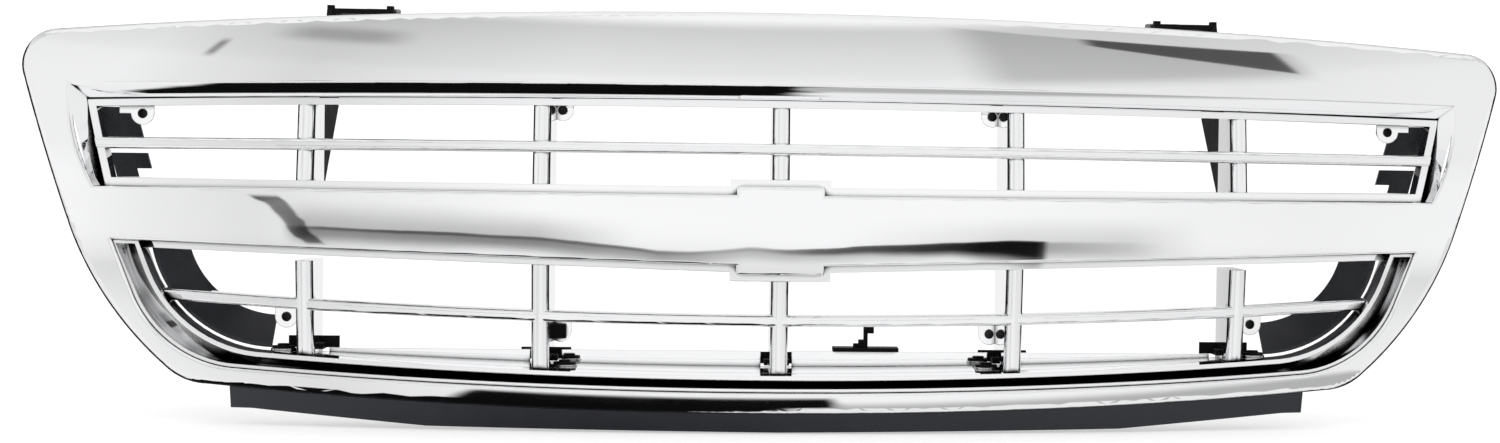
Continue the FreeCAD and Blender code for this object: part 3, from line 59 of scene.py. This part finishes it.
class Graph:
    """Adds shader nodes to a node tree; most calls return the socket that carries their result."""

    def __init__(self, tree):
        self.tree = tree

    def node(self, kind, **settings):
        made = self.tree.nodes.new(kind)
        for name, value in settings.items():
            setattr(made, name, value)
        return made

    def plug(self, socket, value):
        if isinstance(value, bpy.types.NodeSocket):
            self.tree.links.new(value, socket)
        else:
            socket.default_value = value

    def filled(self, kind, names, values, **settings):
        """A new node with the named inputs set or linked."""
        made = self.node(kind, **settings)
        for name, value in zip(names, values):
            self.plug(made.inputs[name], value)
        return made

    def math(self, operation, *values):
        return self.filled("ShaderNodeMath", range(len(values)), values, operation=operation).outputs[0]

    def add(self, first, second):
        return self.math("ADD", first, second)

    def minus(self, first, second):
        return self.math("SUBTRACT", first, second)

    def times(self, first, second):
        return self.math("MULTIPLY", first, second)

    def shade(self, tone, mask, amount):
        """tone darkened by amount where mask is 1."""
        return self.times(tone, self.minus(1.0, self.times(mask, amount)))

    def step(self, value, start, end):
        """0 before start, 1 after end, smooth in between; start may be above end."""
        targets = (0.0, 1.0) if start < end else (1.0, 0.0)
        names = ("Value", "From Min", "From Max", "To Min", "To Max")
        values = (value, min(start, end), max(start, end)) + targets
        return self.filled("ShaderNodeMapRange", names, values, interpolation_type="SMOOTHSTEP").outputs[0]

    def between(self, value, rise, fall):
        """Product of two steps: up along rise, and down along fall."""
        return self.times(self.step(value, *rise), self.step(value, *fall))

    def window(self, value, low, high, soft):
        """1 between low and high, falling to 0 over the soft distance on each side."""
        return self.between(value, (low - soft, low + soft), (high + soft, high - soft))

    def curve(self, value, points):
        """Straight lines through (place, height) points, with places in rising order."""
        first, last = points[0][0], points[-1][0]
        lowest = min(height for _, height in points)
        reach = max(height for _, height in points) - lowest
        spot = self.filled("ShaderNodeMapRange", ("Value", "From Min", "From Max"), (value, first, last))
        ramp = self.node("ShaderNodeValToRGB")
        ramp.color_ramp.interpolation = "LINEAR"
        stops = ramp.color_ramp.elements
        while len(stops) < len(points):
            stops.new(0.5)
        for stop, (place, height) in zip(stops, points):
            stop.position = (place - first) / (last - first)
            part = (height - lowest) / reach
            stop.color = (part, part, part, 1.0)
        self.plug(ramp.inputs[0], spot.outputs[0])
        return self.math("MULTIPLY_ADD", ramp.outputs[0], reach, lowest)

    def blend(self, amount, below, above):
        """below where amount is 0, above where it is 1."""
        return self.filled("ShaderNodeMix", (0, 2, 3), (amount, below, above), data_type="FLOAT").outputs[0]

    def tint(self, amount, below, above, way="MIX"):
        """blend for colours."""
        values = (amount, below, above)
        return self.filled("ShaderNodeMix", (0, 6, 7), values, data_type="RGBA", blend_type=way).outputs[2]

    def noise_at(self, place, scale, detail):
        names = ("Vector", "Scale", "Detail")
        return self.filled("ShaderNodeTexNoise", names, (place, scale, detail)).outputs[0]

    def noise(self, scale, detail, stretch=(1.0, 1.0, 1.0)):
        """Noise in object metres; scale is in waves per metre."""
        place = self.node("ShaderNodeTexCoord").outputs["Object"]
        mapping = self.filled("ShaderNodeMapping", ("Vector", "Scale"), (place, stretch))
        return self.noise_at(mapping.outputs[0], scale, detail)

    def bump(self, height, strength, distance):
        """The bump node itself, so that a normal can be linked to it."""
        names = ("Height", "Strength", "Distance")
        return self.filled("ShaderNodeBump", names, (height, strength, distance))


def material(name):
    """A new material, its graph and its shader."""
    made = bpy.data.materials.new(name)
    made.use_nodes = True
    return made, Graph(made.node_tree), made.node_tree.nodes["Principled BSDF"]


def painted_groove_reflections(graph):
    """Painted reflections: streaks of light painted into the colour, following the rounded ends of the lower
    opening.
    """
    centre_across, centre_height = 0.36, 0.01
    ends_from, ends_full = 0.34, 0.45
    drift, side_difference = 0.12, 0.03
    waves, detail = 190.0, 1.0
    dark_below, bright_above = 0.45, 0.60

    place = graph.node("ShaderNodeSeparateXYZ")
    graph.plug(place.inputs[0], graph.node("ShaderNodeTexCoord").outputs["Object"])
    across = graph.math("ABSOLUTE", place.outputs[0])
    side = graph.minus(across, centre_across)
    rise = graph.minus(place.outputs[2], centre_height)
    ring = graph.math("SQRT", graph.add(graph.times(side, side), graph.times(rise, rise)))
    spot = (ring, graph.times(across, drift), graph.times(place.outputs[0], side_difference))
    along = graph.filled("ShaderNodeCombineXYZ", range(3), spot).outputs[0]
    # bright bands of the painted reflections
    painted_flare = graph.step(graph.noise_at(along, waves, detail), dark_below, bright_above)
    return graph.times(graph.step(across, ends_from, ends_full), painted_flare)


def chrome(name, reach, painted_shade_points, streaks=0.0):
    """Bright plating: nearly clean mirror, with faint haze and the slight waviness of moulded plastic.

    Corners closer than reach get painted shade in the base colour, dark as if they mirrored only themselves,
    as the shade points say.
    Painted reflections in streaks, if any, break up that painted shade towards the ends of the part.
    """
    dim_silver, bright_silver = (0.945, 0.95, 0.962, 1.0), (0.975, 0.976, 0.98, 1.0)
    polish, wipe_marks = 0.012, 0.06
    edge_radius, edge_samples, corner_samples = 0.0009, 6, 8
    wave_strength, wave_height = 0.2, 0.00004

    made, graph, shader = material(name)
    haze = graph.noise(14.0, detail=3.0)
    wipe = graph.noise(90.0, detail=2.0, stretch=(0.25, 1.0, 1.0))
    corner = graph.node("ShaderNodeAmbientOcclusion", samples=corner_samples)
    corner.inputs["Distance"].default_value = reach
    # painted shade: the occlusion darkens the base colour in corners and recesses
    painted_shade_and_glints = graph.curve(corner.outputs["AO"], painted_shade_points)
    # painted reflections: streaks of light lift parts of that painted shade
    if streaks:
        painted_shade_and_glints = graph.math("MAXIMUM", painted_shade_and_glints, graph.times(painted_groove_reflections(graph), streaks))
    silver = graph.tint(haze, dim_silver, bright_silver)
    rough = graph.add(polish, graph.times(graph.times(haze, wipe), wipe_marks))
    soft_edge = graph.node("ShaderNodeBevel", samples=edge_samples)
    soft_edge.inputs["Radius"].default_value = edge_radius
    waves = graph.bump(graph.noise(22.0, detail=1.0), wave_strength, wave_height)
    graph.plug(waves.inputs["Normal"], soft_edge.outputs[0])
    shader.inputs["Metallic"].default_value = 1.0
    # the base colour carries the painted shade and any painted reflections
    graph.plug(shader.inputs["Base Color"], graph.tint(1.0, silver, painted_shade_and_glints, "MULTIPLY"))
    graph.plug(shader.inputs["Roughness"], rough)
    graph.plug(shader.inputs["Normal"], waves.outputs[0])
    return made


def plastic(name, dark, light, rough, grain, sheen):
    """Moulded plastic: fine grain, slow colour drift and scuffed roughness."""
    drift_share, grain_share, scuff_share = 0.8, 0.2, 0.16
    grain_strength, grain_height = 0.35, 0.0002

    made, graph, shader = material(name)
    drift = graph.noise(9.0, detail=3.0)
    speck = graph.noise(grain, detail=2.0)
    scuffs = graph.noise(45.0, detail=3.0)
    mix = graph.add(graph.times(drift, drift_share), graph.times(speck, grain_share))
    shader.inputs["Specular IOR Level"].default_value = sheen
    graph.plug(shader.inputs["Base Color"], graph.tint(mix, (*dark, 1.0), (*light, 1.0)))
    graph.plug(shader.inputs["Roughness"], graph.add(rough, graph.times(scuffs, scuff_share)))
    graph.plug(shader.inputs["Normal"], graph.bump(speck, grain_strength, grain_height).outputs[0])
    return made


def zinc(name):
    """Zinc-plated screws and nuts: soft metal sheen with blotches."""
    blue_grey, warm_grey = (0.48, 0.49, 0.5, 1.0), (0.66, 0.65, 0.6, 1.0)
    rough, blotch_share = 0.26, 0.2
    blotch_strength, blotch_height = 0.2, 0.0001

    made, graph, shader = material(name)
    blotch = graph.noise(350.0, detail=3.0)
    shader.inputs["Metallic"].default_value = 1.0
    graph.plug(shader.inputs["Base Color"], graph.tint(blotch, blue_grey, warm_grey))
    graph.plug(shader.inputs["Roughness"], graph.add(rough, graph.times(blotch, blotch_share)))
    graph.plug(shader.inputs["Normal"], graph.bump(blotch, blotch_strength, blotch_height).outputs[0])
    return made


# Painted shade in the plating's colour, by how open the corner around it is; the groove's is darker
PLATE_PAINTED_SHADE = [(0.0, 0.01), (0.42, 0.03), (0.52, 0.25), (0.60, 0.85), (0.68, 1.0), (1.0, 1.0)]
GROOVE_PAINTED_SHADE = [(0.0, 0.004), (0.60, 0.006), (0.70, 0.03), (0.78, 0.35), (0.86, 0.95), (1.0, 1.0)]
CHARCOAL = {"dark": (0.012, 0.013, 0.017), "light": (0.026, 0.028, 0.035)}
BLACK = {"dark": (0.005, 0.005, 0.005), "light": (0.012, 0.012, 0.012)}
FINISHES = {
    PLATED: chrome(PLATED, reach=0.008, painted_shade_points=PLATE_PAINTED_SHADE),
    # copy of the plating for the lower moulding's groove, with darker painted shade and painted reflections
    "chrome_groove_painted_shade": chrome("chrome_groove_painted_shade", reach=0.012, painted_shade_points=GROOVE_PAINTED_SHADE, streaks=0.75),
    "charcoal_plastic": plastic("charcoal_plastic", **CHARCOAL, rough=0.16, grain=1800.0, sheen=0.42),
    "black_plastic": plastic("black_plastic", **BLACK, rough=0.42, grain=2200.0, sheen=0.07),
    "zinc_steel": zinc("zinc_steel"),
}

# The bowed and crowned front face
CROWN_RADIUS = 0.400
BOW_RADIUS = 1.650
# Screw holes in the tabs: their size, the pair that is no mount, and how far back their faces begin
HOLE_RADIUS = 0.0038
LOWER_INNER_HOLE = (0.166, -0.0825)
HOLE_FRONT = 0.1067
MM_PER_METRE = 1000.0
# Upper edge of the sloping bezel face under the header, and the turn that its shading gets
SLOPE_RISE = (-0.80, -0.50)
SLOPE_FACING = -0.4
SLOPE_HEIGHTS = (0.1000, 0.1140)
HEADER_ROLL = math.radians(-8.0)
# A face within SMOOTH of the exact normal takes it; a corner normal past STRAY is dropped
SMOOTH = math.cos(math.radians(7.0))
STRAY = math.cos(math.radians(28.0))


def crowned_normal(spot):
    """Outward normal of the bowed and crowned face that passes through a point."""
    across, rear = spot.x, spot.y - BOW_RADIUS
    share = 1.0 - (BOW_RADIUS - CROWN_RADIUS) / math.hypot(across, rear)
    return Vector((across * share, rear * share, spot.z)).normalized()


def screw_holes():
    """Centres of the screw holes in the grid tabs, as (across, height)."""
    pairs = [LOWER_INNER_HOLE]
    for mount in frame["record"]["mounts"]:
        if mount["name"].endswith("_tabs"):
            half = mount["dims"]["spacing_x_mm"] / 2.0 / MM_PER_METRE
            pairs.append((half, mount["pos_m"][2]))
    return [(side * half, height) for half, height in pairs for side in (-1, 1)]


def on_header_slope(name, face, spot):
    """True on the upper edge of the sloping bezel face under the header."""
    tilted = SLOPE_RISE[0] < face.normal.z < SLOPE_RISE[1] and face.normal.y < SLOPE_FACING
    return name == "front_shell" and tilted and SLOPE_HEIGHTS[0] < spot.z < SLOPE_HEIGHTS[1]


def in_screw_hole(spot, holes):
    near = any(math.hypot(spot.x - across, spot.z - height) < HOLE_RADIUS for across, height in holes)
    return near and spot.y > HOLE_FRONT


def clean_normal(face, spot, given):
    """The exact normal where the mesh follows the crowned face, else the given one unless it is stray."""
    exact = crowned_normal(spot)
    match = exact.dot(face.normal)
    if match > SMOOTH:
        return exact
    if -match > SMOOTH:
        return -exact
    if given.dot(face.normal) < STRAY:
        return face.normal.copy()
    return given


def polished(name, body):
    """Chrome copy of a CAD node with the exact shading of the crowned face and dark screw holes.

    The plating doesn't reach into the screw holes, so they show dark plastic.
    """
    mesh = frame["nodes"][name].data.copy()
    mesh.name = name + "_plated"
    given = [corner.vector.copy() for corner in mesh.corner_normals]
    normals = [None] * len(mesh.loops)
    holes = screw_holes()
    roll = Matrix.Rotation(HEADER_ROLL, 3, "X")
    mesh.materials.clear()
    # the lower moulding takes the plating copy with darker painted shade in its groove
    mesh.materials.append(FINISHES["chrome_groove_painted_shade" if name == "lower_molding" else PLATED])
    mesh.materials.append(FINISHES["charcoal_plastic"])
    for face in mesh.polygons:
        for corner in face.loop_indices:
            spot = mesh.vertices[mesh.loops[corner].vertex_index].co
            normals[corner] = clean_normal(face, spot, given[corner])
            if on_header_slope(name, face, spot):
                normals[corner] = (roll @ normals[corner]).normalized()
        if in_screw_hole(face.center, holes):
            face.material_index = 1
    mesh.polygons.foreach_set("use_smooth", [True] * len(mesh.polygons))
    mesh.normals_split_custom_set(normals)
    made = bpy.data.objects.new(name + "_plated", mesh)
    bpy.context.scene.collection.objects.link(made)
    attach(made, body)
    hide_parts(name)


for part in frame["record"]["subparts"]:
    if part["material_slot"] == PLATED:
        polished(part["node"], "grille")
        continue
    mesh = frame["nodes"][part["node"]].data
    mesh.materials.clear()
    mesh.materials.append(FINISHES[part["material_slot"]])

# Brightness of the surroundings by elevation, and by turn away from straight ahead, in degrees
LIGHT_BY_HEIGHT = [(-90.0, 0.86), (-60.0, 0.90), (-38.0, 0.94), (-20.0, 0.90), (-11.0, 0.78), (-8.0, 0.90),
                   (-4.0, 0.98), (8.0, 0.97), (14.0, 0.90), (29.0, 0.90), (33.0, 0.88), (35.0, 0.81),
                   (41.0, 0.72), (46.0, 0.64), (48.5, 0.96), (90.0, 0.95)]
LIGHT_BY_TURN = [(-180.0, 0.92), (-90.0, 0.95), (-52.0, 1.0), (-46.0, 0.90), (-37.0, 0.80), (-30.0, 0.88),
                 (-16.0, 1.0), (16.0, 0.99), (40.0, 0.92), (60.0, 0.97), (100.0, 0.95), (180.0, 0.92)]
# Thin dark line near the horizon, by turn: its elevation, how dark it is and how thick it is
LINE_HEIGHT = [(-60.0, -3.0), (-33.0, -2.2), (-26.0, -2.8), (-16.0, -3.8), (-11.0, -5.3), (-7.5, -6.9),
               (-5.0, -6.8), (-1.0, -5.6), (2.0, -6.2), (8.0, -5.2), (18.0, -3.8), (60.0, -3.8)]
LINE_DEPTH = [(-60.0, 0.0), (-34.0, 0.0), (-32.0, 0.62), (-26.0, 0.74), (-16.0, 0.60), (-9.0, 0.55),
              (-4.0, 0.25), (0.0, 0.35), (4.0, 0.75), (12.0, 0.93), (16.0, 0.985), (20.6, 0.985),
              (21.0, 0.15), (30.0, 0.0), (60.0, 0.0)]
LINE_THICKNESS = [(-60.0, 0.8), (-20.0, 0.9), (0.0, 1.1), (8.0, 2.0), (14.0, 3.2), (20.0, 7.0), (60.0, 7.0)]
# Soft shade above and below that line, by turn
SHADE_OVER_LINE = [(-60.0, 0.0), (-34.5, 0.0), (-33.0, 0.40), (-16.0, 0.42), (-9.0, 0.05), (5.0, 0.0),
                   (18.0, 0.22), (27.0, 0.25), (33.0, 0.0), (60.0, 0.0)]
SHADE_UNDER_LINE = [(-60.0, 0.0), (-34.5, 0.0), (-33.0, 0.45), (-16.0, 0.58), (-7.0, 0.6), (-2.0, 0.42),
                    (6.0, 0.45), (20.0, 0.4), (30.0, 0.0), (60.0, 0.0)]


def add_cards(graph, tone, height, turn):
    """Shaded cards and their edges, high on both sides."""
    slope_from, slope_rate = 30.0, -0.30
    drop_from, drop_rate = 28.0, -0.50
    card_turns, card_shade = ((16.0, 22.0), (49.0, 46.0)), 0.32
    card_foot, card_top = (31.0, 34.5), (43.5, 43.25)
    edge_turns, edge_shade = ((29.0, 31.0), (47.0, 46.0)), 0.82
    edge_foot, edge_top = (42.6, 42.9), (43.5, 43.3)
    rim_turns, rim_heights, rim_shade = (-46.9, -46.1, 0.35), (34.0, 37.5, 0.8), 0.6
    corner_turns, corner_heights, corner_shade = (-42.0, -32.0, 2.5), (39.0, 42.0, 1.2), 0.38

    over_slope = graph.minus(height, graph.times(graph.minus(turn, slope_from), slope_rate))
    over_drop = graph.minus(height, graph.times(graph.minus(turn, drop_from), drop_rate))
    card = graph.times(graph.step(over_slope, *card_top), graph.between(turn, *card_turns))
    card = graph.times(card, graph.step(height, *card_foot))
    edge = graph.times(graph.step(over_slope, *edge_top), graph.step(over_drop, *edge_foot))
    edge = graph.times(edge, graph.between(turn, *edge_turns))
    rim = graph.times(graph.window(turn, *rim_turns), graph.window(height, *rim_heights))
    corner = graph.times(graph.window(turn, *corner_turns), graph.window(height, *corner_heights))
    tone = graph.shade(tone, card, card_shade)
    tone = graph.shade(tone, edge, edge_shade)
    tone = graph.shade(tone, rim, rim_shade)
    return graph.shade(tone, corner, corner_shade)


def add_horizon(graph, tone, height, turn, wobble):
    """Thin dark line low on the horizon, with shade above and below it, and a slanting fold on the left."""
    line_wobble = 1.2
    line_start, line_end = (-0.05, 0.02), (1.2, 0.45)
    over_above, over_below = (7.0, 0.0), (5.0, 1.5)
    under_start, under_end = (-0.1, 0.5), (4.5, 1.0)
    fold_lean, fold_wobble, fold_depth, fold_unevenness = 0.34, 2.6, 0.82, 0.6
    fold_turns, fold_heights = (-35.1, -33.5, 0.16), (-6.0, 4.2, 0.5)

    line = graph.add(graph.curve(turn, LINE_HEIGHT), graph.times(wobble, line_wobble))
    above = graph.minus(height, line)
    below = graph.minus(line, height)
    depth_in_line = graph.math("DIVIDE", below, graph.curve(turn, LINE_THICKNESS))
    streak = graph.between(depth_in_line, line_start, line_end)
    over = graph.times(graph.step(above, *over_above), graph.step(below, *over_below))
    under = graph.between(below, under_start, under_end)
    tone = graph.shade(tone, streak, graph.curve(turn, LINE_DEPTH))
    tone = graph.shade(tone, over, graph.curve(turn, SHADE_OVER_LINE))
    tone = graph.shade(tone, under, graph.curve(turn, SHADE_UNDER_LINE))

    lean = graph.add(graph.add(turn, graph.times(height, fold_lean)), graph.times(wobble, fold_wobble))
    fold = graph.times(graph.window(lean, *fold_turns), graph.window(height, *fold_heights))
    return graph.shade(tone, fold, graph.add(fold_depth, graph.times(wobble, fold_unevenness)))


def add_floor(graph, tone, across, front, rise, wobble):
    """Dark floor edge under the part with a greyer strip beside it, placed by where a ray meets the floor."""
    black, grey, grey_share = 0.004, 0.12, 0.55
    slant, edge_wobble = -0.10, 0.10
    nearly_level = 0.001
    downward = graph.step(rise, -0.05, -0.3)
    dark_forward, dark_sideways = (-0.75, 1.11, 0.02), (-0.62, 0.02, 0.02)
    grey_forward, grey_sideways = (0.38, 1.05, 0.04), (0.02, 1.2, 0.02)

    steep = graph.math("MAXIMUM", graph.times(rise, -1.0), nearly_level)
    forward = graph.math("DIVIDE", front, steep)
    sideways = graph.add(graph.math("DIVIDE", across, steep), graph.times(forward, slant))
    sideways = graph.add(sideways, graph.times(wobble, edge_wobble))
    pit = graph.times(graph.window(forward, *dark_forward), graph.window(sideways, *dark_sideways))
    haze = graph.times(graph.window(forward, *grey_forward), graph.window(sideways, *grey_sideways))
    tone = graph.blend(graph.times(downward, pit), tone, black)
    return graph.blend(graph.times(downward, graph.times(haze, grey_share)), tone, grey)


def add_room_behind(graph, tone, height, turn):
    """Dark room behind the part, which the sides of the posts mirror."""
    dark = 0.012
    turns, heights = ((104.0, 112.0), (171.0, 166.0)), (-52.0, 26.0, 6.0)
    aside = graph.between(graph.math("ABSOLUTE", turn), *turns)
    return graph.blend(graph.times(aside, graph.window(height, *heights)), tone, dark)


def studio_world():
    """Bright, even surroundings with the few dark places that a chrome face mirrors."""
    ripple_waves, ripple_detail, ripple_middle = 9.0, 3.0, 0.5

    world = bpy.data.worlds.new("studio")
    bpy.context.scene.world = world
    world.use_nodes = True
    graph = Graph(world.node_tree)
    direction = graph.node("ShaderNodeTexCoord").outputs["Generated"]
    across, rear, rise = graph.filled("ShaderNodeSeparateXYZ", (0,), (direction,)).outputs
    front = graph.times(rear, -1.0)
    height = graph.math("DEGREES", graph.math("ARCSINE", rise))
    turn = graph.math("DEGREES", graph.math("ARCTAN2", across, front))
    # slow wobble, so that the streaks read as folds of paper rather than ruled lines
    wobble = graph.minus(graph.noise_at(direction, ripple_waves, ripple_detail), ripple_middle)

    tone = graph.times(graph.curve(height, LIGHT_BY_HEIGHT), graph.curve(turn, LIGHT_BY_TURN))
    tone = add_cards(graph, tone, height, turn)
    tone = add_horizon(graph, tone, height, turn, wobble)
    tone = add_floor(graph, tone, across, front, rise, wobble)
    tone = add_room_behind(graph, tone, height, turn)

    # the camera itself sees plain white
    seen = graph.node("ShaderNodeLightPath").outputs["Is Camera Ray"]
    graph.plug(world.node_tree.nodes["Background"].inputs[0], graph.blend(seen, tone, 1.0))


def pale_paper():
    """Matt paper with a faint tooth. From its rear side it is clear, so that it never hides the part."""
    dark, light, white = (0.66, 0.66, 0.66, 1.0), (0.70, 0.70, 0.70, 1.0), (1.0, 1.0, 1.0, 1.0)
    rough, sheen, glow = 0.9, 0.1, 0.45

    paper, graph, shader = material("pale_paper")
    graph.plug(shader.inputs["Base Color"], graph.tint(graph.noise(300.0, detail=2.0), dark, light))
    shader.inputs["Roughness"].default_value = rough
    shader.inputs["Specular IOR Level"].default_value = sheen
    shader.inputs["Emission Color"].default_value = white
    shader.inputs["Emission Strength"].default_value = glow
    from_rear = graph.node("ShaderNodeNewGeometry").outputs["Backfacing"]
    clear = graph.node("ShaderNodeBsdfTransparent").outputs[0]
    sheet = graph.filled("ShaderNodeMixShader", range(3), (from_rear, shader.outputs[0], clear)).outputs[0]
    graph.plug(paper.node_tree.nodes["Material Output"].inputs["Surface"], sheet)
    return paper


def sweep():
    """Pale studio floor that curves up into a backdrop. It isn't part of the object."""
    gap_under_part = 0.0008
    side, near, far, tall, bend = 7.0, -5.0, 1.4, 4.0, 0.9
    steps = 16

    floor = CAD_BOX[0][2] - gap_under_part
    profile = [(near, floor), (far, floor)]
    for step in range(1, steps + 1):
        angle = math.radians(90.0 * step / steps)
        profile.append((far + bend * math.sin(angle), floor + bend * (1.0 - math.cos(angle))))
    profile.append((far + bend, tall))
    points = [(x, y, z) for y, z in profile for x in (-side, side)]
    faces = [(2 * row, 2 * row + 1, 2 * row + 3, 2 * row + 2) for row in range(len(profile) - 1)]
    mesh = bpy.data.meshes.new("sweep")
    mesh.from_pydata(points, [], faces)
    mesh.shade_smooth()
    mesh.materials.append(pale_paper())
    made = bpy.data.objects.new("sweep", mesh)
    bpy.context.scene.collection.objects.link(made)
    made.visible_glossy = False


def soft_light(name, place, aim, size, power):
    """Large square light that lights matt surfaces and isn't mirrored by the chrome."""
    data = bpy.data.lights.new(name, "AREA")
    data.size = size
    data.energy = power
    light = bpy.data.objects.new(name, data)
    light.location = place
    light.rotation_euler = (Vector(aim) - Vector(place)).to_track_quat("-Z", "Y").to_euler()
    light.visible_glossy = False
    light.visible_camera = False
    bpy.context.scene.collection.objects.link(light)


def photo_camera():
    """Camera at the photograph's viewing angle."""
    place = (-0.0489, -1.9994, 0.0600)
    level, pan, pitch, roll = (math.radians(angle) for angle in (90.0, 5.665, 1.470, 0.83))

    data = bpy.data.cameras.new("camera")
    data.sensor_width = 36.0
    data.lens = 65.0
    data.shift_x = -0.1554
    camera = bpy.data.objects.new("camera", data)
    camera.matrix_world = (Matrix.Translation(place) @ Matrix.Rotation(-pan, 4, "Z")
                           @ Matrix.Rotation(level - pitch, 4, "X") @ Matrix.Rotation(roll, 4, "Z"))
    bpy.context.scene.collection.objects.link(camera)
    bpy.context.scene.camera = camera


studio_world()
sweep()
soft_light("key", place=(-0.6, -1.6, 2.2), aim=(0.0, 0.0, 0.0), size=2.4, power=14.0)
soft_light("fill", place=(1.6, -1.2, 1.2), aim=(0.0, 0.2, 0.0), size=1.6, power=5.0)
photo_camera()
bpy.context.scene.view_settings.view_transform = "Standard"
